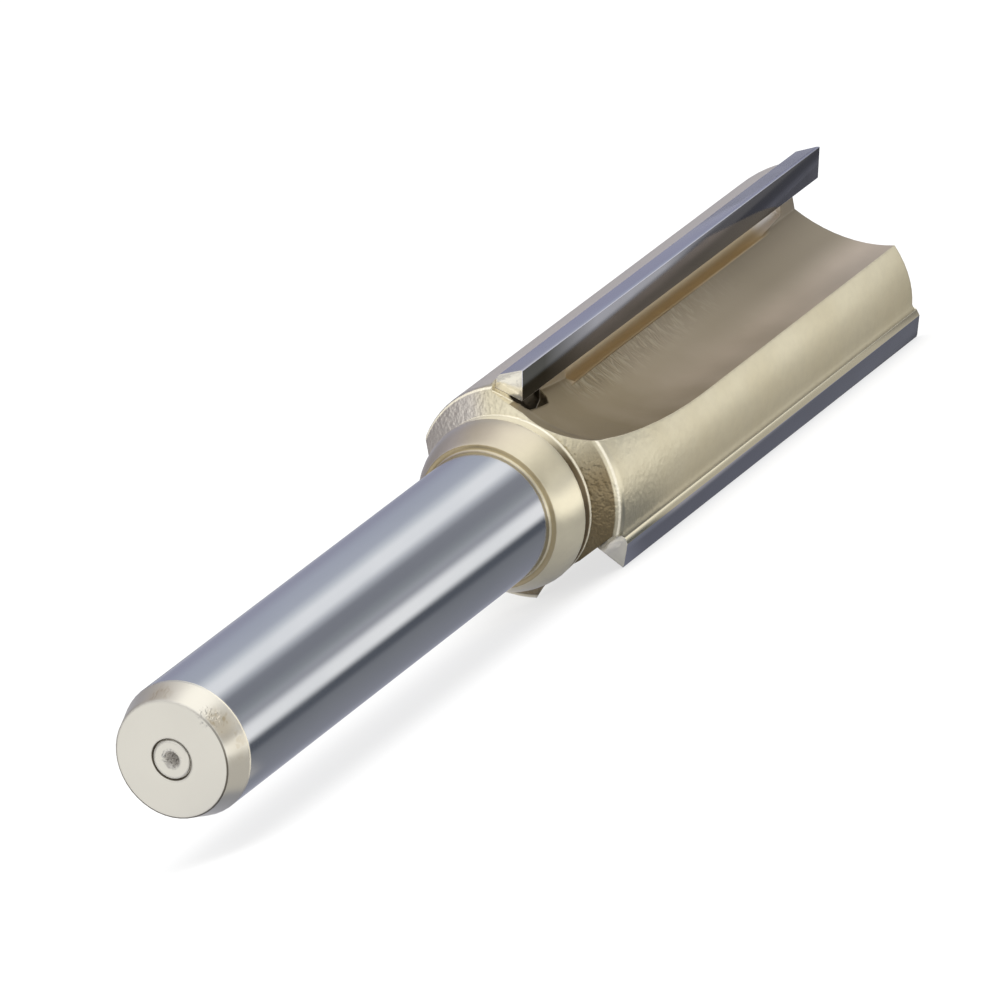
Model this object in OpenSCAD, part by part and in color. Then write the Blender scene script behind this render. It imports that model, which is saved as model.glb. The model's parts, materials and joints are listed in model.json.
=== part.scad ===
// Straight grooving router bit: one turned and milled steel cutter body with a ground shank,
// and three carbide blades seated in it. Each piece is worked out upright, with the shank's end
// at z = 0 and the cutting end up. It is then laid down as the bit comes to rest on a bench: on
// the cutting edge of one blade and on the ridge across that blade's gullet.
// Millimetres, one unit to a millimetre.

/* [Shank] */
// Diameter of the ground shank
shank_d = 12; // [10:0.1:13]
// Length from the shank's end to the collar
shank_l = 57.1; // [40:0.1:80]
// Diameter of the flat on the shank's end
shank_end_d = 10.4; // [7:0.1:11]
// Length of the cone from that flat out to the full shank
shank_cone_l = 2.6; // [0.5:0.1:5]
// Radius of the fillet between the shank and the collar
shank_fillet = 0.3; // [0.1:0.05:0.5]

/* [Shank end] */
// Mean diameter of the ring cut round the middle of the end face
end_ring_d = 3.5; // [2.6:0.1:6]
// Width of that ring
end_ring_w = 0.16; // [0.1:0.02:0.6]
// Depth of that ring
end_ring_depth = 0.25; // [0.1:0.05:1]
// Diameter of the centre hole's mouth
centre_d = 1.5; // [0.8:0.1:2]
// Depth of the centre hole's cone
centre_depth = 1.1; // [0.5:0.1:2]

/* [Collar] */
// Diameter of the collar's narrow rim, next to the shank
collar_near_d = 13.6; // [13.4:0.1:14.4]
// Diameter of the collar's wide rim
collar_d = 15.6; // [15:0.1:16.5]
// Length of the collar from its face to its wide rim
collar_l = 3.3; // [2.4:0.1:6]
// How far the flared band bulges from a straight cone
collar_bulge = 0.18; // [0.05:0.01:0.3]
// Bevel of the collar's rims
collar_bevel = 0.25; // [0.1:0.05:0.4]

/* [Neck] */
// Diameter at the bottom of the neck groove behind the collar
neck_d = 14.7; // [14:0.1:14.9]
// Width of the neck groove
neck_w = 0.75; // [0.4:0.05:2]
// Width of the thin ring between the neck groove and the shoulder
neck_ring_w = 0.3; // [0.15:0.05:0.8]

/* [Fluted body] */
// How far the lands behind the blades lie inside the cutting circle
land_drop = 1.25; // [0.9:0.05:1.5]
// Length of the conical shoulder
shoulder_l = 1.85; // [1.2:0.05:3]
// Radius of the round edge between the shoulder and the lands
shoulder_round = 0.6; // [0.3:0.05:1]
// How much larger the hollow fillet behind a blade is than the step that it climbs
buttress_over = 1; // [0.3:0.1:3]
// Relief angle of the steel at the cutting end, falling away behind a blade
end_relief = 15; // [8:0.5:20]
// Dish angle of the steel at the cutting end, falling towards the axis
end_dish = 10.8; // [4:0.1:14]

/* [Gullets] */
// Diameter of the core left between the gullets
core_d = 10.5; // [9:0.1:11.5]
// Radius of a gullet's hollow
gullet_r = 11; // [10:0.1:12]
// Angle from a rake face forward to the deepest line of its gullet
gullet_lead = 23.2; // [20:0.1:26]
// Length over which a gullet rises towards the shoulder
run_l = 17.95; // [10:0.05:25]
// Radius of that rise, along the gullet's floor
run_r = 80; // [60:1:120]
// How far the gullet's side wall stands back from the rake face
wall_setback = 0.53; // [0.3:0.01:0.8]

/* [Blades] */
// Cutting diameter over the three edges
cut_d = 22; // [21.4:0.1:22.6]
// Length of a blade
blade_l = 58.3; // [40:0.1:70]
// Height of the rake face, from the blade's root to its edge
blade_h = 2.87; // [2.4:0.01:3.2]
// Thickness of a blade behind its rake face
blade_t = 2.6; // [2:0.05:3.2]
// Clearance angle of the face behind the edge
clearance_angle = 20; // [15:0.5:24]
// Width of the narrow land along the cutting edge
edge_land_w = 0.3; // [0.1:0.05:0.6]
// Clearance angle of that narrow land
edge_land_angle = 8; // [4:0.5:14]
// Slope of the seat under the blade, rising away from the rake face
seat_slope = 18; // [10:0.5:22]
// Bevel between the clearance face and the back of a blade
blade_corner = 0.38; // [0.05:0.01:0.6]
// Dish angle of the blade's cutting end
dish_angle = 7; // [0:0.5:12]
// Clearance angle of the blade's cutting end
end_clearance = 6; // [0:0.5:12]
// Distance from the shoulder's edge to a blade's near end
blade_start = 0.25; // [0.1:0.05:3]
// How far the steel right behind a blade stops short of the blade's end
blade_reach = 0.75; // [0.4:0.05:3]

/* [Undercuts] */
// Diameter of the round undercut along a blade's root
undercut_d = 2.2; // [1.8:0.05:2.4]
// Depth of the undercut's axis below the blade's root
undercut_drop = 0.83; // [0.7:0.01:0.95]
// Distance of the undercut's axis behind the rake face
undercut_back = 0.6; // [0.4:0.01:0.8]
// Diameter of the short pocket at the shoulder
pocket_d = 2.7; // [2:0.05:3]
// Length of that pocket
pocket_l = 5.3; // [4:0.1:8]
// Length of the bridge between the pocket and the long undercut
bridge_l = 4.9; // [2:0.1:6]
// Length left solid at the cutting end
undercut_stop = 6.1; // [4:0.1:12]
// Length over which the undercut runs out towards the cutting end
undercut_fade = 3.6; // [1:0.1:6]

/* [Hidden] */

TEETH = 3;
PITCH = 360 / TEETH;
STEEL = [0.80, 0.77, 0.68];
CARBIDE = [0.36, 0.36, 0.40];
// Overshoot of every cut past the surface it leaves
OVER = 1;
$fn = 96;

shank_r = shank_d / 2;
collar_near_r = collar_near_d / 2;
collar_r = collar_d / 2;
neck_r = neck_d / 2;
cut_r = cut_d / 2;
land_r = cut_r - land_drop;
undercut_r = undercut_d / 2;
pocket_r = pocket_d / 2;

// Stations along the axis, from the shank's end
z_rim = shank_l + collar_l;
z_ring = z_rim + neck_w;
z_shoulder = z_ring + neck_ring_w + (collar_r - neck_r) / 2;
z_land = z_shoulder + shoulder_l;
z_blade = z_land + blade_start;
z_tip = z_blade + blade_l;
z_end = z_tip - blade_reach;
z_full = z_land + run_l;

// Middle of a gullet's round section at full depth, with the rake face along +X, and the
// line far out in front of it that the rise towards the shoulder turns about
gullet_x = (core_d / 2 + gullet_r) * cos(gullet_lead);
gullet_y = (core_d / 2 + gullet_r) * sin(gullet_lead);
pivot_x = gullet_x - gullet_r + run_r;

// Blade section: root, edge and the two back corners
root_x = cut_r - blade_h;
heel_x = cut_r - edge_land_w * tan(edge_land_angle) - (blade_t - edge_land_w) * tan(clearance_angle);
back_x = root_x + blade_t * tan(seat_slope);

// Floor of a gullet on its rise, at distance y in front of the rake face and station z
function floor_x(y, z) =
    let (reach = pivot_x - gullet_x + sqrt(pow(gullet_r, 2) - pow(y - gullet_y, 2)))
    pivot_x - sqrt(pow(reach, 2) - pow(z_full - z, 2));

// Angle from a rake face to the ridge where its gullet meets the next land, by halving a to b
function ridge_angle(z, a = gullet_lead, b = 90, halvings = 30) =
    let (mid = (a + b) / 2)
    halvings == 0 ? mid
    : land_r * cos(mid) > floor_x(land_r * sin(mid), z) ? ridge_angle(z, mid, b, halvings - 1)
    : ridge_angle(z, a, mid, halvings - 1);

// The bench touches the edge of one blade and the start of the ridge across its gullet
ridge_start = land_r * [cos(ridge_angle(z_land)), sin(ridge_angle(z_land))];
rest_angle = atan2(cut_r - ridge_start[0], ridge_start[1]);
axis_h = cut_r * cos(rest_angle);
rest_turn = -(PITCH + rest_angle);
// Middle of the width covered by the lands on one side and the highest-reaching edge on the other
side_mid = (cut_r * max([for (i = [0 : TEETH - 1]) sin(rest_turn + i * PITCH)]) - land_r) / 2;

// Points of an arc in the half section, from angle a to angle b
function arc(middle, r, a, b, steps = 6) =
    [for (i = [0 : steps]) let (t = a + (b - a) * i / steps) middle + r * [cos(t), sin(t)]];

// Points of a shallow bow from p to q, bulging by sag to the right of the way
function bow(p, q, sag, steps = 8) =
    let (way = q - p, side = [way[1], -way[0]] / norm(way))
    [for (i = [0 : steps]) let (t = i / steps) p + t * way + 4 * sag * t * (1 - t) * side];

// A point turned about the axis
function rotated(p, angle) =
    [p[0] * cos(angle) - p[1] * sin(angle), p[0] * sin(angle) + p[1] * cos(angle)];

// Angle between the shoulder and a plane square to the axis, where it runs into the round edge
shoulder_run = land_r - shoulder_round - neck_r;
shoulder_lean = 90 - atan2(shoulder_l, shoulder_run)
    + asin(shoulder_round / norm([shoulder_run, shoulder_l]));

// Half section of the turned blank, radius by station
function blank_profile() = concat(
    [[0, centre_depth],
     [centre_d / 2, 0],
     [(end_ring_d - end_ring_w) / 2, 0],
     [(end_ring_d - end_ring_w) / 2, end_ring_depth],
     [(end_ring_d + end_ring_w) / 2, end_ring_depth],
     [(end_ring_d + end_ring_w) / 2, 0],
     [shank_end_d / 2, 0],
     [shank_r, shank_cone_l]],
    arc([shank_r + shank_fillet, shank_l - shank_fillet], shank_fillet, 180, 90),
    [[collar_near_r - collar_bevel, shank_l]],
    bow([collar_near_r, shank_l + collar_bevel], [collar_r, z_rim - collar_bevel], collar_bulge),
    [[collar_r - collar_bevel, z_rim],
     [neck_r, z_rim],
     [neck_r, z_ring - (collar_r - neck_r) / 2],
     [collar_r - collar_bevel / 4, z_ring],
     [collar_r - collar_bevel / 4, z_ring + neck_ring_w],
     [neck_r, z_shoulder]],
    arc([land_r - shoulder_round, z_land], shoulder_round, -shoulder_lean, 0, 4),
    [[land_r, z_end + OVER / 2],
     [0, z_end + OVER / 2]]);

// Round section of a gullet, cut off by its flat side wall
module gullet_section() {
    intersection() {
        translate([gullet_x, gullet_y]) circle(r = gullet_r);
        translate([0, -wall_setback]) square(2 * (gullet_x + gullet_r));
    }
}

// One gullet: straight to the cutting end, and rising out of the body up to the shoulder
module gullet() {
    // One degree more than it takes to reach the shoulder's foot
    sweep = asin((z_full - z_shoulder) / (pivot_x - neck_r)) + 1;
    translate([0, 0, z_full]) linear_extrude(z_end - z_full + OVER) gullet_section();
    intersection() {
        translate([pivot_x, 0, z_full]) rotate([90, 180, 0]) rotate_extrude(angle = sweep)
            rotate(180) translate([-pivot_x, 0]) gullet_section();
        translate([0, -cut_r, z_shoulder]) cube([2 * cut_r, 3 * cut_r, 2 * run_l]);
    }
}

// Room for a blade: floor under it and wall behind it, open through the lands and both ends
module seat() {
    // The floor runs on forward of the rake face, where the gullet leaves anything to cut
    front_y = wall_setback + OVER;
    far_x = cut_r + OVER;
    translate([0, 0, z_shoulder]) linear_extrude(z_end - z_shoulder + OVER)
        polygon([
            [root_x - front_y * tan(seat_slope), front_y],
            [back_x, -blade_t],
            [far_x, -blade_t],
            [far_x, front_y]
        ]);
}

// Undercut along a blade's root, from station a to station b, drawn in at both ends
module undercut(r, a, b, fade) {
    nose_l = r * 0.6;
    translate([root_x - undercut_drop, -undercut_back, a]) {
        cylinder(r1 = r * 0.5, r2 = r, h = nose_l);
        translate([0, 0, nose_l]) cylinder(r = r, h = b - a - nose_l - fade);
        translate([0, 0, b - a - fade]) cylinder(r1 = r, r2 = r * 0.5, h = fade);
    }
}

// Steel that backs a blade: it rises from the land to the blade's back in a hollow fillet
module buttress() {
    top = [heel_x - blade_corner, -blade_t];
    buttress_r = norm(top) - land_r + buttress_over;
    // The hollow's middle: a little short of touching the land, so that the two surfaces cross
    out = land_r + 0.97 * buttress_r;
    turn = acos((out * out + top * top - buttress_r * buttress_r) / (2 * out * norm(top)));
    mid_angle = atan2(top[1], top[0]) - turn;
    middle = out * [cos(mid_angle), sin(mid_angle)];
    low = (land_r - OVER) * [cos(mid_angle), sin(mid_angle)];
    start_z = z_land + shoulder_round / 5;
    translate([0, 0, start_z]) linear_extrude(z_end + OVER / 2 - start_z)
        difference() {
            polygon([top, [top[0], -blade_t / 2], [low[0], -blade_t / 2], low, middle]);
            translate(middle) circle(r = buttress_r);
        }
}

// What the relief grinding takes off the cutting end, behind one blade and down into the
// gullet as far as the next blade's back
module end_relief_cut() {
    seat_y = 0.3 - blade_t;
    seat_x = root_x * 0.8;
    far_x = cut_r + OVER;
    lap = OVER / 10;
    back = rotated([far_x, seat_y - lap], -PITCH);
    back_foot = rotated([seat_x, seat_y - lap], -PITCH);
    intersection() {
        translate([0, 0, z_end - far_x]) linear_extrude(2 * far_x) polygon([
            rotated([lap, 0], PITCH), [seat_x, seat_y], [far_x, seat_y],
            rotated([2 * far_x, 0], -PITCH / 2), back, back_foot
        ]);
        translate([land_r, -blade_t, z_end]) rotate([end_relief, -end_dish, 0])
            translate([-3 * far_x, -3 * far_x, 0]) cube([6 * far_x, 6 * far_x, far_x]);
    }
}

// The steel cutter body, upright
module body_upright() {
    pocket_z = z_land - undercut_r * 0.6;
    groove_z = pocket_z + pocket_l + bridge_l;
    difference() {
        union() {
            rotate_extrude() polygon(blank_profile());
            for (i = [0 : TEETH - 1]) rotate([0, 0, i * PITCH]) buttress();
        }
        for (i = [0 : TEETH - 1]) rotate([0, 0, i * PITCH]) {
            gullet();
            seat();
            undercut(pocket_r, pocket_z, pocket_z + pocket_l, pocket_r * 0.6);
            undercut(undercut_r, groove_z, z_end - undercut_stop, undercut_fade);
            end_relief_cut();
        }
    }
}

// One carbide blade, upright, with its rake face along +X and looking towards +Y
module blade_upright() {
    land_x = cut_r - edge_land_w * tan(edge_land_angle);
    difference() {
        translate([0, 0, z_blade]) linear_extrude(blade_l)
            polygon([
                [root_x, 0], [cut_r, 0], [land_x, -edge_land_w],
                [heel_x + blade_corner * tan(clearance_angle), -blade_t + blade_corner],
                [heel_x - blade_corner, -blade_t],
                [back_x, -blade_t]
            ]);
        // The end falls away from the corner of the edge, towards the axis and towards the back
        translate([cut_r, 0, z_tip]) rotate([end_clearance, -dish_angle, 0])
            translate([-2 * blade_h, -2 * blade_t, 0]) cube([3 * blade_h, 4 * blade_t, blade_h]);
    }
}

// From upright to lying on the bench, with the shank towards -X
module laid_down() {
    translate([-z_tip / 2, -side_mid, axis_h])
        rotate([0, 90, 0]) rotate([0, 0, rest_turn]) children();
}

module carbide_blade(place) {
    color(CARBIDE) laid_down() rotate([0, 0, place * PITCH]) blade_upright();
}

module cutter_body() { color(STEEL) laid_down() body_upright(); }
module carbide_blade_1() { carbide_blade(0); }
module carbide_blade_2() { carbide_blade(1); }
module carbide_blade_3() { carbide_blade(2); }

cutter_body();
carbide_blade_1();
carbide_blade_2();
carbide_blade_3();
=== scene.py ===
"""Finishes, lights and frames a grooving router bit that lies at rest on a pale floor.

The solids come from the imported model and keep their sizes. This script gives them rounded
edges, ground steel, champagne nickel plate and ground carbide, and sets up the studio.
"""
import json
import math

import bmesh
import bpy
from bpy.props import FloatProperty, FloatVectorProperty, IntProperty, PointerProperty
from mathutils import Matrix, Vector


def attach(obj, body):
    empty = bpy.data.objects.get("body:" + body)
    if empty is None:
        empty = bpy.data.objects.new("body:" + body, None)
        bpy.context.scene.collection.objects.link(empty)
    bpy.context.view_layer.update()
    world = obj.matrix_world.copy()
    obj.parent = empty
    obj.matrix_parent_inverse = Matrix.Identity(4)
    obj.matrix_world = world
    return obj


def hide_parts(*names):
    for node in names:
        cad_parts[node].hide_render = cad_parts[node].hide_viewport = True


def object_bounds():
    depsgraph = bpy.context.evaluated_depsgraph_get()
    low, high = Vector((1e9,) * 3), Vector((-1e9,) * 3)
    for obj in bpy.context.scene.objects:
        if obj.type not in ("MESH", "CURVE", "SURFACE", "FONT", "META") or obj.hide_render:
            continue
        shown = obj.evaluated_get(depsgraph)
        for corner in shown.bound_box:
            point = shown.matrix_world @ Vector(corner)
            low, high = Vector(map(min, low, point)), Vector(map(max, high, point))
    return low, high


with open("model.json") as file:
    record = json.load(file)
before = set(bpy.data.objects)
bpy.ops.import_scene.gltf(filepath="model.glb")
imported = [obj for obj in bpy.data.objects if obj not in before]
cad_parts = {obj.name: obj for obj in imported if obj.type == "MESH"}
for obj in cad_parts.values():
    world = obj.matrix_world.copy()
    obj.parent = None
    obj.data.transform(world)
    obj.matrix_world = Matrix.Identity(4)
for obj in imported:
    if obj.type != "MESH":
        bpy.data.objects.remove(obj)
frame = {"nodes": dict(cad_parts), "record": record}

bl_info = {
    "name": "Grooving router bit",
    "version": (1, 0, 0),
    "blender": (4, 5, 0),
    "location": "3D View > Sidebar > Router bit",
    "description": "Finishes the pieces of a grooving router bit and sets up its studio",
    "category": "Object",
}

CAD_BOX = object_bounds()
BODY = "cutter_body"
BLADES = ("carbide_blade_1", "carbide_blade_2", "carbide_blade_3")
MM = 0.001


def mm(*values):
    """Millimetres as metres."""
    return tuple(value * MM for value in values)


# marks along the bit, from the shank's end: where each starts, is full, fades and is gone
CONE_RIM = mm(2.44, 2.5, 2.58, 2.62)
COLLAR_RIM = mm(60.1, 60.15, 60.42, 60.46)
NECK = mm(60.45, 60.5, 61.08, 61.12)
NECK_CORNER = mm(60.45, 60.55, 62.85, 62.95)
NECK_RING = mm(61.12, 61.16, 61.42, 61.5)
GULLET_LIP = mm(61.8, 62.0, 64.5, 67.0)
SHOULDER_RIM = mm(63.0, 63.08, 63.16, 63.28)
POCKET = mm(63.4, 65.0, 68.9, 69.6)
CUTTER_MARKS = mm(70.0, 75.0, 84.0, 106.0)
UNDERCUT = mm(72.6, 73.4, 110.5, 113.0)
HAZY = mm(5.0, 6.0, 62.8, 63.6)

# the turned blank at the shoulder: a steep cone up to its knee, then a short rise to the body
SHOULDER_FOOT = 0.08 * MM
SHOULDER_KNEE = 1.42 * MM
FOOT_RADIUS = 7.35 * MM
KNEE_RADIUS = 9.47 * MM
RISE_TO_BODY = 0.28 * MM

# the pocket and the undercut of a tooth are round about a line this far behind its rake face
CUT_BEHIND_RAKE = 0.6 * MM
UNDERCUT_EDGE = mm(1.15, 1.25)
POCKET_EDGE = mm(1.5, 1.7)
TOOTH_RANGE = (math.radians(80), math.radians(-40))

# radii of painted shade: the dark ring by the groove in the end face, and the dark line round the
# lower edge of that face
DARK_RING = mm(1.71, 1.75, 1.85, 1.89)
DARK_EDGE = mm(5.08, 5.12)

# brown marks on the end cone: middle, radius where it is full, radius where it ends, strength
BLEMISHES = (
    (mm(-60.0, -5.6, 10.2), 0.4 * MM, 2.2 * MM, 1.0),
    (mm(-59.6, -6.4, 8.4), 0.3 * MM, 2.2 * MM, 0.4),
    (mm(-60.2, -1.6, 14.6), 0.2 * MM, 1.6 * MM, 0.6),
)

# middle of a rough spot where the end cone meets the end face
ROUGH_SPOT = mm(-60.36, -5.5, 11.5)

# tones of the metals besides the main ones, and colours of painted shade, highlight and reflection,
# each marked below
STEEL_SHADE = (0.58, 0.60, 0.64)
THIN_PLATE = (0.78, 0.69, 0.48)
MOTTLED_PLATE = (0.72, 0.65, 0.49)
# a darker tone on top of the collar
COLLAR_TOP_TONE = (0.68, 0.60, 0.49)
# painted reflection: a paler, cooler tint on the upper far side, for the bluish room the lands
# mirror
FAR_SIDE_PAINTED_REFLECTION = (0.80, 0.75, 0.72)
# painted shade in the concave ring at the collar's foot
COLLAR_FOOT_SHADE = (0.53, 0.43, 0.25)
# painted shade in the gullets by the rake, deeper towards the cutting end
GULLET_PAINTED_SHADE = (0.22, 0.19, 0.13)
# painted shade in the neck groove behind the collar rim, on the lower side
NECK_PAINTED_SHADE = (0.16, 0.12, 0.07)
# painted highlight on the collar rim, neck ring, shoulder edge, gullet lip and cone rim
PAINTED_HIGHLIGHT = (0.93, 0.87, 0.71)
POCKET_SHADE = (0.13, 0.11, 0.08)
PIT_STEEL = (0.42, 0.40, 0.37)
# painted shade of the ring groove in the end face and along that face's lower edge
LINE_PAINTED_SHADE = (0.16, 0.14, 0.11)
BLEMISH_BROWN = (0.52, 0.41, 0.24)
TORN_PLATE = (0.78, 0.72, 0.54)
CARBIDE_SHADE = (0.52, 0.52, 0.58)
# painted shade: the rake faces darkened towards black, most by the shank's end
RAKE_PAINTED_SHADE = (0.06, 0.06, 0.055)
MOTTLED_BLADE_PLATE = (0.72, 0.67, 0.54)

# points and edges of a CAD node this close together are joined
JOIN_REACH = 0.001 * MM
SHORT_EDGE = 0.0005 * MM

# relief of the materials is reckoned in units of this height
RELIEF = 0.1 * MM

# edges that turn by more than this stay sharp, on the body, the blades and the end cone
BODY_SHARP = math.radians(24)
BLADE_SHARP = math.radians(30)
CONE_SHARP = math.radians(12)
CONE_REACH = 3 * MM

# a blade's face is one of its ends, its back, its floor or its rake where the normal leans
# this far along the bit, forward, outward and forward
END_LEAN = 0.6
BACK_LEAN = -0.6
FLOOR_LEAN = -0.7
RAKE_LEAN = 0.97

# the floor as the metal mirrors it, from 80 mm in front of the bit to 20 mm behind it; the dark
# stretch under the bit is its painted shadow
FLOOR_REACH = (-80 * MM, 20 * MM)
FLOOR_TONES = (
    (0.000, (0.42, 0.43, 0.46)),
    (0.250, (0.62, 0.63, 0.64)),
    (0.400, (0.92, 0.92, 0.92)),
    (0.480, (1.08, 1.08, 1.06)),
    (0.610, (1.08, 1.08, 1.06)),
    (0.635, (0.60, 0.61, 0.61)),
    (0.655, (0.10, 0.11, 0.13)),
    (0.685, (0.12, 0.13, 0.15)),
    (0.700, (0.22, 0.23, 0.25)),
    (0.720, (0.24, 0.25, 0.27)),
    (0.780, (0.27, 0.28, 0.32)),
    (0.820, (0.37, 0.38, 0.44)),
    (0.850, (0.56, 0.56, 0.61)),
    (0.900, (0.66, 0.66, 0.70)),
    (1.000, (0.62, 0.63, 0.66)),
)
# painted shadow of the bit in the mirrored floor, lighter as the plate sees it and darker as the
# blades see it
PAINTED_SHADOW_FOR_PLATE = (0.46, 0.45, 0.43)
PAINTED_SHADOW_FOR_BLADES = (0.06, 0.06, 0.07)
BEYOND_SHANK = (0.92, 0.92, 0.90)
PAPER = (0.86, 0.86, 0.86)
WHITE = (1.0, 1.0, 1.0)

# the room as the metal mirrors it, by half turns round the bit: what the straight surfaces
# mirror, what those that slope towards the shank's end mirror, and what those facing it mirror
STRIPS = (
    (0.00, (0.50, 0.51, 0.58)),
    (0.10, (0.34, 0.35, 0.44)),
    (0.20, (0.36, 0.37, 0.46)),
    (0.33, (0.46, 0.49, 0.57)),
    (0.48, (0.51, 0.54, 0.61)),
    (0.55, (0.76, 0.79, 0.82)),
    (0.60, (1.03, 1.04, 1.04)),
    (0.69, (1.02, 1.03, 1.03)),
    (0.75, (0.52, 0.54, 0.57)),
    (0.80, (0.25, 0.26, 0.29)),
    (0.89, (0.25, 0.26, 0.29)),
    (0.95, (0.31, 0.33, 0.35)),
    (1.00, (0.42, 0.44, 0.46)),
)
ROOM = (
    (0.00, (0.32, 0.31, 0.33)),
    (0.17, (0.28, 0.27, 0.28)),
    (0.33, (0.42, 0.40, 0.41)),
    (0.42, (0.56, 0.55, 0.56)),
    (0.50, (0.74, 0.73, 0.74)),
    (0.58, (1.06, 1.06, 1.05)),
    (0.75, (1.06, 1.06, 1.05)),
    (0.83, (0.66, 0.66, 0.66)),
    (0.92, (0.58, 0.58, 0.58)),
    (1.00, (0.90, 0.90, 0.89)),
)
BEHIND = (
    (0.00, (0.36, 0.36, 0.38)),
    (0.17, (0.42, 0.42, 0.44)),
    (0.25, (0.76, 0.76, 0.76)),
    (0.38, (1.00, 1.00, 0.99)),
    (0.75, (1.00, 1.00, 0.99)),
    (0.83, (0.66, 0.66, 0.66)),
    (0.92, (0.50, 0.50, 0.49)),
    (1.00, (0.36, 0.36, 0.35)),
)

# what the room gives to surfaces that don't mirror
EVEN_LIGHT = (1.15, 1.15, 1.15)

# place and sides of the soft lamp, in metres
LAMP_PLACE = (-0.1, -0.2, 0.9)
LAMP_SIZE = (1.0, 0.8)


class BitSizes(bpy.types.PropertyGroup):
    """Sizes that the finish goes by."""

    cone_length: FloatProperty(
        name="End cone length", description="Length of the plated cone at the shank's end",
        default=2.6 * MM, unit="LENGTH")
    shank_length: FloatProperty(
        name="Shank length", description="Distance from the shank's end to the collar",
        default=57.1 * MM, unit="LENGTH")
    shoulder_start: FloatProperty(
        name="Shoulder start", description="Distance from the shank's end to the rough shoulder",
        default=61.6 * MM, unit="LENGTH")
    body_start: FloatProperty(
        name="Body start", description="Distance from the shank's end to the full fluted body",
        default=63.5 * MM, unit="LENGTH")
    body_length: FloatProperty(
        name="Body length", description="Distance from the shank's end to the cutting end",
        default=122.0 * MM, unit="LENGTH")
    undercut_radius: FloatProperty(
        name="Undercut radius", description="Distance from the axis to an undercut's middle",
        default=7.3 * MM, unit="LENGTH")
    edge_round: FloatProperty(
        name="Edge rounding", description="Radius of the worn and plated edges of the body",
        default=0.3 * MM, unit="LENGTH")
    blade_round: FloatProperty(
        name="Blade edge rounding", description="Width of the light bevel along the blades' edges",
        default=0.07 * MM, unit="LENGTH")
    grinding_pitch: FloatProperty(
        name="Grinding pitch", description="Distance between the grinding lines round the shank",
        default=0.3 * MM, unit="LENGTH")
    milling_pitch: FloatProperty(
        name="Milling pitch", description="Distance between the cutter marks in the gullets",
        default=0.6 * MM, unit="LENGTH")


class BitColours(bpy.types.PropertyGroup):
    """Colours of the metals."""

    steel: FloatVectorProperty(
        name="Ground steel", description="Colour of the bare ground shank",
        default=(0.66, 0.67, 0.70), size=3, min=0.0, max=1.0, subtype="COLOR")
    plate: FloatVectorProperty(
        name="Champagne plate", description="Colour of the nickel plate on collar and lands",
        default=(0.86, 0.79, 0.60), size=3, min=0.0, max=1.0, subtype="COLOR")
    end_plate: FloatVectorProperty(
        name="End plate", description="Colour of the paler plate on the shank's end face",
        default=(0.83, 0.80, 0.73), size=3, min=0.0, max=1.0, subtype="COLOR")
    cone_plate: FloatVectorProperty(
        name="Cone plate", description="Colour of the bright plate on the shank's end cone",
        default=(0.92, 0.88, 0.78), size=3, min=0.0, max=1.0, subtype="COLOR")
    gullet_near: FloatVectorProperty(
        name="Gullet by the shoulder", description="Colour of the dull plate where a gullet rises",
        default=(0.37, 0.30, 0.19), size=3, min=0.0, max=1.0, subtype="COLOR")
    gullet_far: FloatVectorProperty(
        name="Gullet at the end", description="Colour of the dull plate near the cutting end",
        default=(0.71, 0.61, 0.50), size=3, min=0.0, max=1.0, subtype="COLOR")
    groove: FloatVectorProperty(
        name="Undercut", description="Colour of the golden brown undercuts along the blades",
        default=(0.65, 0.53, 0.35), size=3, min=0.0, max=1.0, subtype="COLOR")
    # painted shade in the corner between the neck ring and the shoulder, mostly on the lower side
    painted_corner_shade: FloatVectorProperty(
        name="Brown stain", description="Colour of the film in the corner by the neck ring",
        default=(0.26, 0.20, 0.11), size=3, min=0.0, max=1.0, subtype="COLOR")
    carbide: FloatVectorProperty(
        name="Ground carbide", description="Colour of the ground faces of the blades",
        default=(0.60, 0.60, 0.69), size=3, min=0.0, max=1.0, subtype="COLOR")


class Studio(bpy.types.PropertyGroup):
    """Camera, floor and light."""

    camera_turn: FloatProperty(
        name="Camera turn", description="Angle of the camera round the bit, from the front",
        default=math.radians(-56.155), subtype="ANGLE")
    camera_rise: FloatProperty(
        name="Camera rise", description="Angle of the camera above the floor",
        default=math.radians(8.796), subtype="ANGLE")
    camera_roll: FloatProperty(
        name="Camera roll", description="Turn of the picture about the line of sight",
        default=math.radians(-24.649), subtype="ANGLE")
    camera_distance: FloatProperty(
        name="Camera distance", description="Distance from the camera to the middle of the bit",
        default=1.2704, unit="LENGTH")
    camera_aim: FloatVectorProperty(
        name="Camera aim", description="Point that the camera looks at",
        default=(-0.05 * MM, 0.08 * MM, 9.50 * MM), size=3, unit="LENGTH")
    lens: FloatProperty(
        name="Lens", description="Focal length in mm, on a sensor 36 mm wide", default=534.96)
    floor_size: FloatProperty(
        name="Floor size", description="Length of the floor's sides", default=6.0, unit="LENGTH")
    floor_glow: FloatProperty(
        name="Floor glow", description="Share of plain white that the camera sees in the floor",
        default=0.7, min=0.0, max=1.0, subtype="FACTOR")
    lamp_power: FloatProperty(
        name="Lamp power", description="Power of the large soft lamp", default=6.0, unit="POWER")
    samples: IntProperty(
        name="Edge samples", description="Rays with which a rounded edge is shaded",
        default=4, min=2, max=16)


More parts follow.
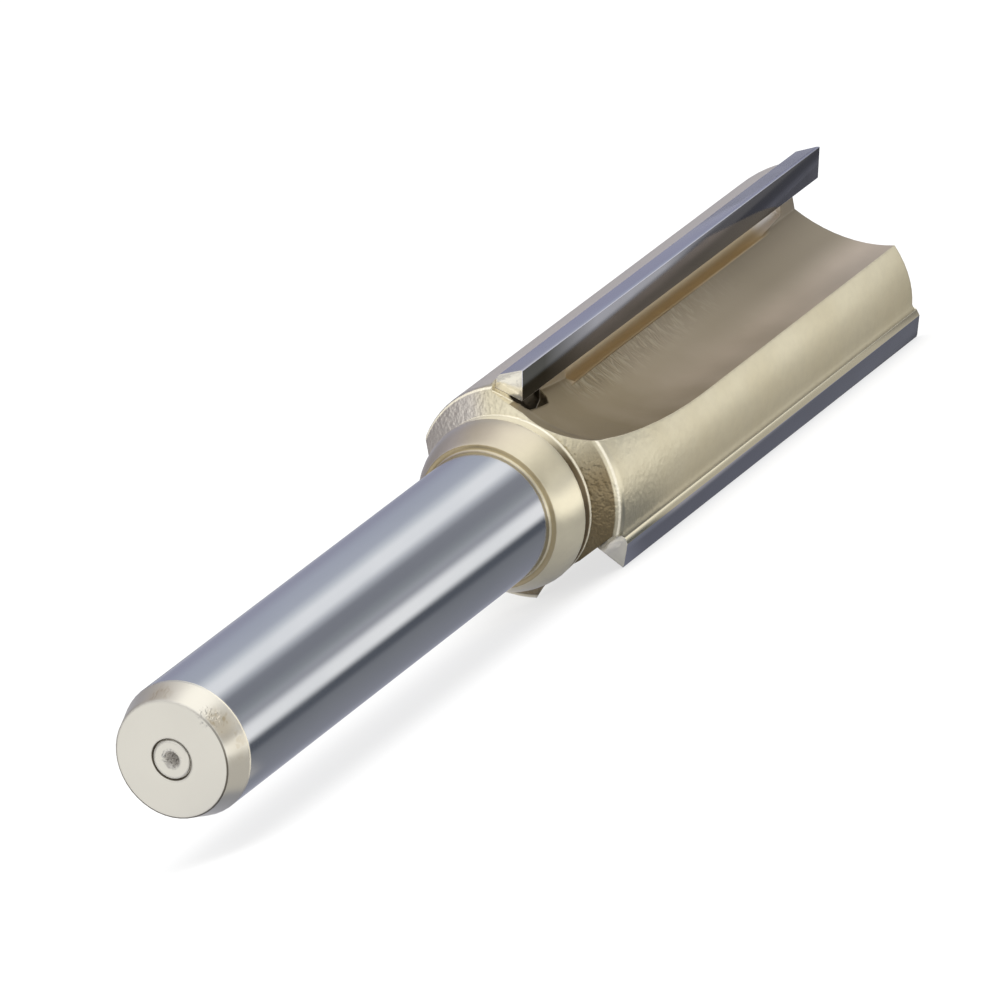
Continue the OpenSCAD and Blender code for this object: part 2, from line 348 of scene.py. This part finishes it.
class Wire:
    """An output of a shader node that can stand in sums, differences and products."""

    def __init__(self, shader, socket):
        self.shader = shader
        self.socket = socket

    def _reckon(self, operation, *values):
        return self.shader.add("ShaderNodeMath", {"operation": operation}, dict(enumerate(values)))

    def __add__(self, other):
        return self._reckon("ADD", self, other)

    __radd__ = __add__

    def __sub__(self, other):
        return self._reckon("SUBTRACT", self, other)

    def __rsub__(self, other):
        return self._reckon("SUBTRACT", other, self)

    def __mul__(self, other):
        return self._reckon("MULTIPLY", self, other)

    __rmul__ = __mul__

    def __truediv__(self, other):
        return self._reckon("DIVIDE", self, other)

    def __rtruediv__(self, other):
        return self._reckon("DIVIDE", other, self)

    def __pow__(self, other):
        return self._reckon("POWER", self, other)

    def angle(self, other):
        """Angle of the point (other, self) round the origin."""
        return self._reckon("ARCTAN2", self, other)

    def cosine(self):
        return self._reckon("COSINE", self)

    def sine(self):
        return self._reckon("SINE", self)

    def wrapped(self, highest, lowest):
        """The value brought between lowest and highest by whole turns of that range."""
        return self._reckon("WRAP", self, highest, lowest)

    def least(self, other):
        return self._reckon("MINIMUM", self, other)

    def most(self, other):
        return self._reckon("MAXIMUM", self, other)

    def step(self, low, high):
        """0 below low, 1 above high and smooth between them."""
        return self.shader.add(
            "ShaderNodeMapRange", {"interpolation_type": "SMOOTHSTEP"},
            {"Value": self, "From Min": low, "From Max": high, "To Min": 0.0, "To Max": 1.0})

    def below(self, low, high):
        """1 below low, 0 above high and smooth between them."""
        return 1 - self.step(low, high)

    def band(self, start, full, fading, end):
        """1 from full to fading, 0 before start and past the end, and smooth between them."""
        return self.step(start, full) * self.below(fading, end)

    def scaled(self, low, high, to_low, to_high):
        """Maps low..high onto to_low..to_high, held at both ends."""
        return self.shader.add(
            "ShaderNodeMapRange", {},
            {"Value": self, "From Min": low, "From Max": high,
             "To Min": to_low, "To Max": to_high})


class Shader:
    """Builds a node tree, one node to a call."""

    def __init__(self, tree):
        self.tree = tree
        tree.nodes.clear()

    def add(self, kind, settings=None, inputs=None, output=0):
        """Adds a node: its settings first, then the values or links of its inputs."""
        node = self.tree.nodes.new(kind)
        for name, value in (settings or {}).items():
            if name == "stops":
                self._stops(node.color_ramp, value)
            else:
                setattr(node, name, value)
        for name, value in (inputs or {}).items():
            self._plug(node.inputs[name], value)
        return Wire(self, node.outputs[output]) if len(node.outputs) else node

    def _plug(self, socket, value):
        if isinstance(value, Wire):
            self.tree.links.new(value.socket, socket)
        elif hasattr(value, "__len__") and len(value) == 3 and socket.type == "RGBA":
            socket.default_value = (*value, 1.0)
        else:
            socket.default_value = value

    def _stops(self, ramp, stops):
        while len(ramp.elements) > 1:
            ramp.elements.remove(ramp.elements[-1])
        for number, (place, colour) in enumerate(stops):
            stop = ramp.elements[0] if number == 0 else ramp.elements.new(place)
            stop.position = place
            stop.color = (*colour, 1.0)

    def blend(self, share, first, second):
        """Mixes two colours."""
        return self.add(
            "ShaderNodeMix", {"data_type": "RGBA"}, {0: share, 6: first, 7: second}, output=2)

    def layered(self, colour, *layers):
        """Lays colours over the first one in turn, each by its share."""
        for share, over in layers:
            colour = self.blend(share, colour, over)
        return colour

    def ramp(self, place, stops):
        """Colours at places from 0 to 1, blended between them."""
        return self.add("ShaderNodeValToRGB", {"stops": stops}, {"Fac": place})

    def point(self):
        """The place on the object."""
        return self.add("ShaderNodeTexCoord", output="Object")

    def split(self, vector):
        """The three coordinates of a place or direction."""
        first = self.add("ShaderNodeSeparateXYZ", {}, {0: vector})
        return [Wire(self, socket) for socket in first.socket.node.outputs]

    def ray(self, kind):
        """1 for light that is followed back from the camera or from a mirroring surface."""
        return self.add("ShaderNodeLightPath", output=kind)

    def attribute(self, name):
        """A number that the mesh keeps for each face."""
        return self.add(
            "ShaderNodeAttribute", {"attribute_type": "GEOMETRY", "attribute_name": name},
            output="Fac")

    def near(self, point, place, inner, outer):
        """1 within inner of a place, 0 beyond outer."""
        away = self.add(
            "ShaderNodeVectorMath", {"operation": "DISTANCE"}, {0: point, 1: place},
            output="Value")
        return away.below(inner, outer)

    def noise(self, point, scale, detail=2.0, roughness=0.5, distortion=0.0):
        """Cloudy grain about 0.5. Three scales stretch it along the object's axes."""
        if isinstance(scale, tuple):
            point = self.add(
                "ShaderNodeVectorMath", {"operation": "MULTIPLY"}, {0: point, 1: scale})
            scale = 1.0
        return self.add(
            "ShaderNodeTexNoise", {},
            {"Vector": point, "Scale": scale, "Detail": detail, "Roughness": roughness,
             "Distortion": distortion})

    def relief(self, height, smooth=None):
        """A normal that follows a height, over the normal of rounded edges if there is one."""
        inputs = {"Strength": 1.0, "Distance": RELIEF, "Height": height}
        if smooth:
            inputs["Normal"] = smooth
        return self.add("ShaderNodeBump", {}, inputs)

    def metal(self, colour, metallic, roughness, normal):
        """Makes the tree's surface a metal."""
        surface = self.add(
            "ShaderNodeBsdfPrincipled", {},
            {"Base Color": colour, "Metallic": metallic, "Roughness": roughness,
             "Normal": normal})
        self.add("ShaderNodeOutputMaterial", {}, {"Surface": surface})


def new_shader(name):
    """A new material and the shader that builds its node tree."""
    material = bpy.data.materials.new(name)
    material.use_nodes = True
    return material, Shader(material.node_tree)


def axis_height():
    """Height of the bit's axis: the shank is the only part at its own end of the bit."""
    return frame["record"]["mounts"][0]["pos_m"][2]


def axis_side():
    """Place of the bit's axis across the floor."""
    return frame["record"]["mounts"][0]["pos_m"][1]


def tooth_turn():
    """Angle of the first blade's edge round the axis, from straight down towards +Y."""
    points = (vert.co for vert in frame["nodes"][BLADES[0]].data.vertices)
    offsets = [(point.y - axis_side(), axis_height() - point.z) for point in points]
    return math.atan2(*max(offsets, key=lambda offset: math.hypot(*offset)))


class BodyZones:
    """Where a point lies on the cutter body, and masks of the body's parts and marks."""

    def __init__(self, shader, sizes):
        self.shader = shader
        self.point = shader.point()
        x, y, z = shader.split(self.point)
        self.along = x - CAD_BOX[0].x
        self.down = axis_height() - z
        self.side = y - axis_side()
        self.radius = (self.down * self.down + self.side * self.side) ** 0.5
        self.cloud = shader.noise(self.point, 160.0, detail=3.0)
        self.find_shank(sizes)
        self.find_teeth(sizes)
        self.find_painted_highlights()
        self.find_tones_and_shades()
        self.find_cutter_marks(sizes)
        self.find_end_marks()

    def find_shank(self, sizes):
        """The bare shank, its end face, centre and cone, and the foot of the collar."""
        cone = sizes.cone_length
        shank = sizes.shank_length
        self.bare = self.along.band(
            cone - 0.02 * MM, cone + 0.06 * MM, shank - 0.26 * MM, shank - 0.2 * MM)
        self.end_face = self.along.below(0.05 * MM, 0.3 * MM)
        self.end = self.along.below(cone, cone + 0.1 * MM)
        self.cone = (1 - self.end_face) * self.along.below(cone - 0.2 * MM, cone)
        self.centre = self.radius.below(0.7 * MM, 1.0 * MM) * self.along.below(1.0 * MM, 2.0 * MM)
        # painted shade in the concave ring at the collar's foot
        self.foot = self.along.band(
            shank - 0.08 * MM, shank - 0.03 * MM, shank - 0.01 * MM, shank + 0.05 * MM)

    def find_teeth(self, sizes):
        """The shoulder, the fluted body and its gullets, undercuts and pockets."""
        start = sizes.shoulder_start
        full = sizes.body_start
        self.shoulder = self.along.band(start, start + 0.1 * MM, full - 0.5 * MM, full)
        self.fluted = self.along.step(full, full + 0.5 * MM)

        # place on the nearest tooth: outward along its rake face, and forward of that face
        turn = (self.side.angle(self.down) - tooth_turn()).wrapped(*TOOTH_RANGE)
        outward = self.radius * turn.cosine()
        self.forward = self.radius * turn.sine()

        # depth under the turned blank
        knee = start + SHOULDER_KNEE
        blank = self.along.scaled(start + SHOULDER_FOOT, knee, FOOT_RADIUS, KNEE_RADIUS)
        blank = blank + self.along.scaled(knee, full, 0.0, RISE_TO_BODY)
        self.depth = blank - self.radius
        gullet = self.forward.step(-0.62 * MM, -0.5 * MM) * self.depth.step(0.03 * MM, 0.1 * MM)
        self.gullet = gullet * self.along.step(start, start + 0.1 * MM)

        # the cutter that undercut the blades and made the pockets
        off = outward - sizes.undercut_radius
        back = self.forward + CUT_BEHIND_RAKE
        away = (off * off + back * back) ** 0.5
        self.undercut = away.below(*UNDERCUT_EDGE) * self.along.band(*UNDERCUT)
        behind = self.forward.below(-0.64 * MM, -0.54 * MM)
        pocket = away.below(*POCKET_EDGE) * behind * self.depth.step(0.15 * MM, 0.35 * MM)
        self.pocket = pocket * self.along.band(*POCKET)

    def find_painted_highlights(self):
        """Painted highlights: bright lines on the collar's rim, neck ring, shoulder's edge,
        gullets' lip and one side of the cone's rim.
        """
        rings = self.along.band(*COLLAR_RIM) + self.along.band(*NECK_RING)
        rings = rings * self.radius.step(7.5 * MM, 7.6 * MM)
        shoulder_rim = self.along.band(*SHOULDER_RIM) * (1 - self.gullet)
        lip = self.depth.band(0.03 * MM, 0.06 * MM, 0.1 * MM, 0.2 * MM)
        lip = lip * self.along.band(*GULLET_LIP) * self.gullet
        cone_rim = self.along.band(*CONE_RIM) * self.side.below(-5.5 * MM, -4 * MM)
        self.highlit = rings.most(shoulder_rim).most(lip).most(cone_rim)

    def find_tones_and_shades(self):
        """A darker tone on top of the collar, a painted reflection tint on the far side, and
        painted shade in the neck and by the neck ring.
        """
        # a darker tone on top of the collar
        self.darker_tone = self.down.below(-7 * MM, -3 * MM) * self.along.below(60.2 * MM, 60.4 * MM)
        self.darker_tone = self.darker_tone * self.cloud.scaled(0.3, 0.6, 0.5, 0.9)
        # painted reflection tint on the upper far side
        far_side = (self.side + self.fluted * (3 * MM)).step(-2 * MM, 1 * MM)
        self.far_side = far_side * self.down.below(-5 * MM, -2 * MM) * 0.8
        # painted shade in the neck groove, on the lower side
        self.neck = self.along.band(*NECK) * self.down.step(-5 * MM, -1 * MM)
        # painted shade in the corner by the neck ring, mostly on the lower side
        corner = self.along.band(*NECK_CORNER) * self.down.step(-4.5 * MM, 1.5 * MM)
        corner = corner * self.side.scaled(3 * MM, 9 * MM, 1.0, 0.4)
        self.corner = corner * (1 - self.gullet) * self.cloud.scaled(0.3, 0.6, 0.85, 1.0)

    def find_cutter_marks(self, sizes):
        """Feathered marks of the milling cutter, ahead of the undercut."""
        self.marks = self.shader.noise(
            self.point, (1 / sizes.milling_pitch, 560.0, 560.0), roughness=0.6, distortion=0.8)
        feather = self.forward.band(-0.7 * MM, -0.3 * MM, 0.1 * MM, 2.8 * MM)
        feather = feather * self.depth.step(0.5 * MM, 1 * MM)
        self.feather = feather * self.along.band(*CUTTER_MARKS) * (1 - self.undercut)

    def find_end_marks(self):
        """The dark ring and edge line, both painted shade, the pit in the middle and the blemish on
        the cone.
        """
        grain = self.shader.noise(self.point, 1400.0, detail=1.0)
        uneven = self.radius + (grain - 0.5) * (1.0 * MM)
        self.pit = uneven.below(0.5 * MM, 0.8 * MM) * self.along.below(1.0 * MM, 2.0 * MM)
        # painted shade: the edge line darkens only the lower side of the face's edge
        edge = self.radius.step(*DARK_EDGE) * self.down.scaled(-4 * MM, 1 * MM, 0.0, 0.9)
        line = self.radius.band(*DARK_RING).most(edge)
        on_face = self.along.below(0.08 * MM, 0.14 * MM).most(self.radius.below(2.0 * MM, 2.1 * MM))
        self.line = line * on_face * self.along.below(0.4 * MM, 0.6 * MM)
        first, second, third = (
            self.shader.near(self.point, place, inner, outer) * strength
            for place, inner, outer, strength in BLEMISHES)
        creases = self.shader.noise(
            self.point, (300.0, 900.0, 420.0), detail=3.0, roughness=0.6)
        creases = creases.band(0.44, 0.5, 0.5, 0.56)
        blemish = first.most(second).most(third) * self.end * (1 - self.end_face)
        self.blemish = blemish * (creases * 0.5 + 0.45)


def gullet_colour(shader, zones, sizes, colours):
    """Dull plate: brown by the shoulder, paler towards the cutting end, with painted shade in the
    corner by the rake.
    """
    lengthwise = zones.along.scaled(70 * MM, 84 * MM, 0.0, 0.4)
    lengthwise = lengthwise + zones.along.scaled(84 * MM, sizes.body_length, 0.0, 0.6)
    lengthwise = lengthwise + zones.cloud.scaled(0.3, 0.7, -0.12, 0.12)
    # painted shade by the rake, deeper towards the cutting end
    shade = zones.forward.below(2.8 * MM, 6.5 * MM)
    shade = shade * zones.along.scaled(74 * MM, 105 * MM, 0.08, 0.66)
    return shader.layered(
        colours.gullet_near,
        (lengthwise.least(1.0).most(0.0), colours.gullet_far),
        (shade, GULLET_PAINTED_SHADE))


def plate_colour(shader, zones, sizes, colours):
    """The champagne plate with its tones, painted shade, painted highlights, a painted reflection
    tint and marks, the widest first.
    """
    mottle = shader.noise(zones.point, 1100.0, roughness=0.6)
    return shader.layered(
        colours.plate,
        (zones.cloud.scaled(0.4, 0.7, 0.0, 0.3), THIN_PLATE),
        (mottle.scaled(0.4, 0.65, 0.0, 0.2), MOTTLED_PLATE),
        (zones.darker_tone, COLLAR_TOP_TONE),
        (zones.far_side, FAR_SIDE_PAINTED_REFLECTION),
        (zones.end, colours.cone_plate),
        (zones.end_face, colours.end_plate),
        (zones.foot, COLLAR_FOOT_SHADE),
        (zones.gullet, gullet_colour(shader, zones, sizes, colours)),
        (zones.undercut, colours.groove),
        (zones.corner, colours.painted_corner_shade),
        (zones.neck, NECK_PAINTED_SHADE),
        # painted highlight on the rims and edges
        (zones.highlit, PAINTED_HIGHLIGHT),
        (zones.pocket, POCKET_SHADE),
        (zones.pit, PIT_STEEL),
        (zones.line, LINE_PAINTED_SHADE),
        (zones.blemish, BLEMISH_BROWN),
        (zones.feather * zones.marks.step(0.48, 0.62) * 0.3, TORN_PLATE))


def body_height(shader, zones, sizes):
    """Grinding lines, orange peel, cutter marks, blasted shoulder, and a wavy and pitted end."""
    point = zones.point
    rings = shader.noise(point, (1 / sizes.grinding_pitch, 90.0, 90.0), detail=1.0)
    peel = shader.noise(point, 1500.0)
    peeled = (1 - zones.bare) * (1 - zones.end) * (1 - zones.gullet * 0.75)
    wrinkles = zones.along.below(66 * MM, 84 * MM)
    dents = shader.noise(point, 2400.0, detail=1.0)
    waves = shader.noise(point, (500.0, 420.0, 420.0), detail=1.0)
    pits = shader.noise(point, 2600.0, detail=1.0).step(0.5, 0.62)
    rough_spot = shader.near(point, ROUGH_SPOT, 0.7 * MM, 1.3 * MM)
    height = rings * zones.bare * 0.006
    height = height + peeled * peel * (zones.fluted * (wrinkles * 0.7 + 0.08) + 0.1)
    height = height + zones.feather * zones.marks * 2.0
    height = height + dents * zones.shoulder * (1 - zones.gullet) * (zones.corner * 1.2 + 1.0)
    height = height + zones.cone * waves * 0.5
    height = height + (rough_spot * 0.35 + zones.centre * 0.6) * pits
    return height - zones.blemish * 0.3


def body_haze(zones):
    """A dull haze on the underside of the plate, on its painted highlight lines and in the pit."""
    under = zones.down.step(-1.5 * MM, 1 * MM) * (1 - zones.down.step(3 * MM, 7 * MM) * 0.4)
    haze = zones.along.band(*HAZY) * (1 - zones.bare) * (1 - zones.gullet) * under * 0.32
    return haze.most(zones.highlit * 0.5).most(zones.pit * 0.5)


def body_material(sizes, colours, samples):
    """Ground steel on the shank, champagne plate on its end, the collar and the fluted body."""
    material, shader = new_shader("Plated and ground steel")
    zones = BodyZones(shader, sizes)
    tone = shader.noise(zones.point, (90.0, 260.0, 260.0))
    steel = shader.blend(tone.scaled(0.35, 0.65, 0.0, 0.35), colours.steel, STEEL_SHADE)
    plate = plate_colour(shader, zones, sizes, colours)
    rough = zones.cloud.scaled(0.3, 0.7, 0.27, 0.33) + zones.gullet * 0.06
    rough = (1 - zones.bare) * (rough + zones.shoulder * 0.1 + zones.fluted * 0.18)
    rough = rough + zones.bare * tone.scaled(0.3, 0.7, 0.11, 0.16)
    rounded = shader.add("ShaderNodeBevel", {"samples": samples}, {"Radius": sizes.edge_round})
    shader.metal(
        colour=shader.blend(zones.bare, plate, steel),
        metallic=1 - body_haze(zones),
        roughness=rough,
        normal=shader.relief(body_height(shader, zones, sizes), rounded))
    return material


def blade_material(colours):
    """Ground carbide on the rake and clearance faces, plate on the other faces."""
    material, shader = new_shader("Carbide blade")
    point = shader.point()
    along = shader.split(point)[0] - CAD_BOX[0].x
    ground = shader.attribute("ground")
    rake = shader.attribute("rake")
    ends = shader.attribute("ends")
    cloud = shader.noise(point, 220.0, detail=3.0, roughness=0.55)
    lines = shader.noise(point, (900.0, 9000.0, 9000.0), roughness=0.6)
    grain = shader.noise(point, 2200.0, detail=1.0)
    # painted shade on the rake faces, darkest by the shank's end
    near_end = along.scaled(68 * MM, 78 * MM, 1.0, 0.0)
    carbide = shader.layered(
        colours.carbide,
        (cloud.scaled(0.35, 0.65, 0.0, 0.35), CARBIDE_SHADE),
        (rake * (near_end * 0.42 + 0.58), RAKE_PAINTED_SHADE))
    plate = shader.layered(
        colours.plate,
        (ends, colours.cone_plate),
        (cloud.scaled(0.4, 0.7, 0.0, 0.3), MOTTLED_BLADE_PLATE))
    height = (ground * 0.01 - rake * 0.006) * lines + ends * grain * 0.2
    shader.metal(
        colour=shader.blend(ground, plate, carbide),
        metallic=1 - ends * 0.3,
        roughness=ground * cloud.scaled(0.3, 0.7, 0.10, 0.15) + (1 - ground) * 0.16,
        normal=shader.relief(height))
    return material


def merged_copy(node):
    """A bmesh of a CAD node with its loose triangles joined."""
    mesh = bmesh.new()
    mesh.from_mesh(frame["nodes"][node].data)
    bmesh.ops.remove_doubles(mesh, verts=mesh.verts, dist=JOIN_REACH)
    bmesh.ops.dissolve_degenerate(mesh, edges=mesh.edges, dist=SHORT_EDGE)
    bmesh.ops.recalc_face_normals(mesh, faces=mesh.faces)
    return mesh


def finished_piece(mesh, node, name, material, sharp_angle):
    """Makes an object of the bmesh that stands for a CAD node."""
    cone_end = CAD_BOX[0].x + CONE_REACH
    for edge in mesh.edges:
        limit = sharp_angle if edge.verts[0].co.x > cone_end else CONE_SHARP
        if len(edge.link_faces) == 2:
            edge.smooth = edge.calc_face_angle(0.0) < limit
    for face in mesh.faces:
        face.smooth = True
    data = bpy.data.meshes.new(name)
    mesh.to_mesh(data)
    mesh.free()
    piece = bpy.data.objects.new(name, data)
    bpy.context.scene.collection.objects.link(piece)
    piece.data.materials.append(material)
    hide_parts(node)
    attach(piece, "root")


class ROUTERBIT_OT_body(bpy.types.Operator):
    """Finishes the shank, the collar and the fluted body"""

    bl_idname = "routerbit.body"
    bl_label = "Finish the cutter body"

    def execute(self, context):
        settings = context.scene
        material = body_material(
            settings.bit_sizes, settings.bit_colours, settings.bit_studio.samples)
        finished_piece(
            merged_copy(BODY), BODY, "plated_cutter_body", material, BODY_SHARP)
        return {"FINISHED"}


class ROUTERBIT_OT_blades(bpy.types.Operator):
    """Bevels the carbide blades and finishes their ground and plated faces"""

    bl_idname = "routerbit.blades"
    bl_label = "Finish the carbide blades"

    def execute(self, context):
        settings = context.scene
        material = blade_material(settings.bit_colours)
        for node in BLADES:
            mesh = merged_copy(node)
            bmesh.ops.dissolve_limit(
                mesh, angle_limit=math.radians(2), verts=mesh.verts, edges=mesh.edges)
            bmesh.ops.bevel(
                mesh, geom=list(mesh.edges), offset=settings.bit_sizes.blade_round,
                offset_type="OFFSET", segments=2, profile=0.5, affect="EDGES", material=-1)
            self.mark_ground(mesh)
            finished_piece(mesh, node, "ground_" + node, material, BLADE_SHARP)
        return {"FINISHED"}

    def mark_ground(self, mesh):
        """Marks the ends, the rake, and what is ground: all but the ends, back and floor."""
        ground = mesh.faces.layers.float.new("ground")
        rake = mesh.faces.layers.float.new("rake")
        ends = mesh.faces.layers.float.new("ends")
        axis = Vector((0.0, axis_side(), axis_height()))
        edge = max((vert.co - axis for vert in mesh.verts), key=lambda reach: reach.yz.length)
        outward = Vector((0.0, edge.y, edge.z)).normalized()
        ahead = outward.cross(Vector((1.0, 0.0, 0.0)))
        middle = sum((vert.co for vert in mesh.verts), Vector()) / len(mesh.verts)
        if (edge + axis - middle).dot(ahead) < 0:
            ahead = -ahead
        for face in mesh.faces:
            forward = face.normal.dot(ahead)
            at_end = abs(face.normal.x) > END_LEAN
            plated = at_end or forward < BACK_LEAN or face.normal.dot(outward) < FLOOR_LEAN
            face[ends] = 1.0 if at_end else 0.0
            face[ground] = 0.0 if plated else 1.0
            face[rake] = 1.0 if forward > RAKE_LEAN else 0.0


class ROUTERBIT_OT_stage(bpy.types.Operator):
    """Sets up the floor, the soft light, the background and the camera"""

    bl_idname = "routerbit.stage"
    bl_label = "Set up the studio"

    def execute(self, context):
        studio = context.scene.bit_studio
        self.floor(studio)
        self.lamp(studio)
        self.surroundings(context.scene)
        self.camera(context.scene, studio)
        return {"FINISHED"}

    def floor_material(self, studio):
        """Paper for the camera, and for the metal the tones that the floor shows in it."""
        material, shader = new_shader("Pale floor")
        x, y = shader.split(shader.point())[:2]
        paper = shader.add("ShaderNodeBsdfDiffuse", {}, {"Color": PAPER})
        white = shader.add("ShaderNodeEmission", {}, {"Color": WHITE, "Strength": 1.0})
        glow = shader.ray("Is Camera Ray") * studio.floor_glow
        seen = shader.add("ShaderNodeMixShader", {}, {0: glow, 1: paper, 2: white})

        # what the end cone, lands and blades mirror: painted shadow by the bit, painted shade past
        # its tip, and pale floor past its shank
        cone = x.below(-52 * MM, -48 * MM) * y.below(-5 * MM, -3 * MM)
        lands = x.step(10 * MM, 16 * MM) * y.below(-8.6 * MM, -8 * MM)
        plate = cone.most(lands) * y.step(-18 * MM, -15 * MM)
        blades = x.step(2 * MM, 8 * MM) * y.band(-8.6 * MM, -8 * MM, -3 * MM, 0.0)
        ahead = x.step(62 * MM, 76 * MM) * y.step(-26 * MM, -18 * MM)
        beyond = x.below(-78 * MM, -66 * MM)
        tone = shader.layered(
            shader.ramp(y.scaled(*FLOOR_REACH, 0.0, 1.0), FLOOR_TONES),
            (plate, PAINTED_SHADOW_FOR_PLATE),
            ((blades * 0.45 + ahead * 0.6).least(0.8), PAINTED_SHADOW_FOR_BLADES),
            (beyond, BEYOND_SHANK))
        mirrored = shader.add("ShaderNodeEmission", {}, {"Color": tone, "Strength": 1.0})
        surface = shader.add(
            "ShaderNodeMixShader", {}, {0: shader.ray("Is Glossy Ray"), 1: seen, 2: mirrored})
        shader.add("ShaderNodeOutputMaterial", {}, {"Surface": surface})
        return material

    def floor(self, studio):
        """A wide level sheet that the bit lies on."""
        mesh = bmesh.new()
        bmesh.ops.create_grid(mesh, x_segments=1, y_segments=1, size=studio.floor_size / 2)
        data = bpy.data.meshes.new("floor")
        mesh.to_mesh(data)
        mesh.free()
        floor = bpy.data.objects.new("floor", data)
        bpy.context.scene.collection.objects.link(floor)
        floor.data.materials.append(self.floor_material(studio))

    def lamp(self, studio):
        """A large soft lamp over the bit, which the metal doesn't mirror."""
        data = bpy.data.lights.new("overhead softbox", "AREA")
        data.shape = "RECTANGLE"
        data.size, data.size_y = LAMP_SIZE
        data.energy = studio.lamp_power
        lamp = bpy.data.objects.new("overhead softbox", data)
        lamp.location = LAMP_PLACE
        lamp.rotation_euler = (-lamp.location).to_track_quat("-Z", "Y").to_euler()
        lamp.visible_glossy = False
        bpy.context.scene.collection.objects.link(lamp)

    def surroundings(self, scene):
        """White for the camera, even light for the floor, strips and shade for the metal."""
        world = bpy.data.worlds.new("studio")
        world.use_nodes = True
        scene.world = world
        shader = Shader(world.node_tree)
        x, y, z = shader.split(shader.add("ShaderNodeTexCoord", output="Generated"))
        turn = z.angle(y) / math.pi
        sloping = shader.blend(
            x.step(-0.45, -0.1), shader.ramp(turn, BEHIND), shader.ramp(turn, ROOM))
        mirrored = shader.blend(x.step(0.55, 0.78), sloping, shader.ramp(turn, STRIPS))
        colour = shader.blend(shader.ray("Is Glossy Ray"), EVEN_LIGHT, mirrored)
        colour = shader.blend(shader.ray("Is Camera Ray"), colour, WHITE)
        background = shader.add("ShaderNodeBackground", {}, {"Color": colour, "Strength": 1.0})
        shader.add("ShaderNodeOutputWorld", {}, {"Surface": background})

    def camera(self, scene, studio):
        """A long lens that looks along the bit from beyond its shank."""
        data = bpy.data.cameras.new("camera")
        data.sensor_width = 36.0
        data.lens = studio.lens
        data.clip_start = 0.01
        data.clip_end = 20.0
        data.dof.use_dof = False
        camera = bpy.data.objects.new("camera", data)
        scene.collection.objects.link(camera)
        turn = studio.camera_turn
        rise = studio.camera_rise
        level = Vector((math.sin(turn), -math.cos(turn), 0.0))
        back = level * math.cos(rise) + Vector((0.0, 0.0, math.sin(rise)))
        upright = (-back).to_track_quat("-Z", "Y").to_matrix().to_4x4()
        rolled = upright @ Matrix.Rotation(studio.camera_roll, 4, "Z")
        place = Vector(studio.camera_aim) + back * studio.camera_distance
        camera.matrix_world = Matrix.Translation(place) @ rolled
        scene.camera = camera
        scene.view_settings.view_transform = "Standard"


class ROUTERBIT_PT_panel(bpy.types.Panel):
    """Lists the steps that finish the router bit"""

    bl_label = "Router bit"
    bl_idname = "ROUTERBIT_PT_panel"
    bl_space_type = "VIEW_3D"
    bl_region_type = "UI"
    bl_category = "Router bit"

    def draw(self, context):
        for step in STEPS:
            self.layout.operator(step.bl_idname)
        scene = context.scene
        for group in (scene.bit_sizes, scene.bit_colours, scene.bit_studio):
            box = self.layout.box()
            for name in group.__annotations__:
                box.prop(group, name)


STEPS = (ROUTERBIT_OT_stage, ROUTERBIT_OT_body, ROUTERBIT_OT_blades)
CLASSES = (BitSizes, BitColours, Studio, *STEPS, ROUTERBIT_PT_panel)


def register():
    for each in CLASSES:
        bpy.utils.register_class(each)
    bpy.types.Scene.bit_sizes = PointerProperty(type=BitSizes)
    bpy.types.Scene.bit_colours = PointerProperty(type=BitColours)
    bpy.types.Scene.bit_studio = PointerProperty(type=Studio)


def unregister():
    del bpy.types.Scene.bit_studio
    del bpy.types.Scene.bit_colours
    del bpy.types.Scene.bit_sizes
    for each in reversed(CLASSES):
        bpy.utils.unregister_class(each)


def main():
    register()
    bpy.ops.routerbit.stage()
    bpy.ops.routerbit.body()
    bpy.ops.routerbit.blades()


if __name__ == "__main__":
    main()
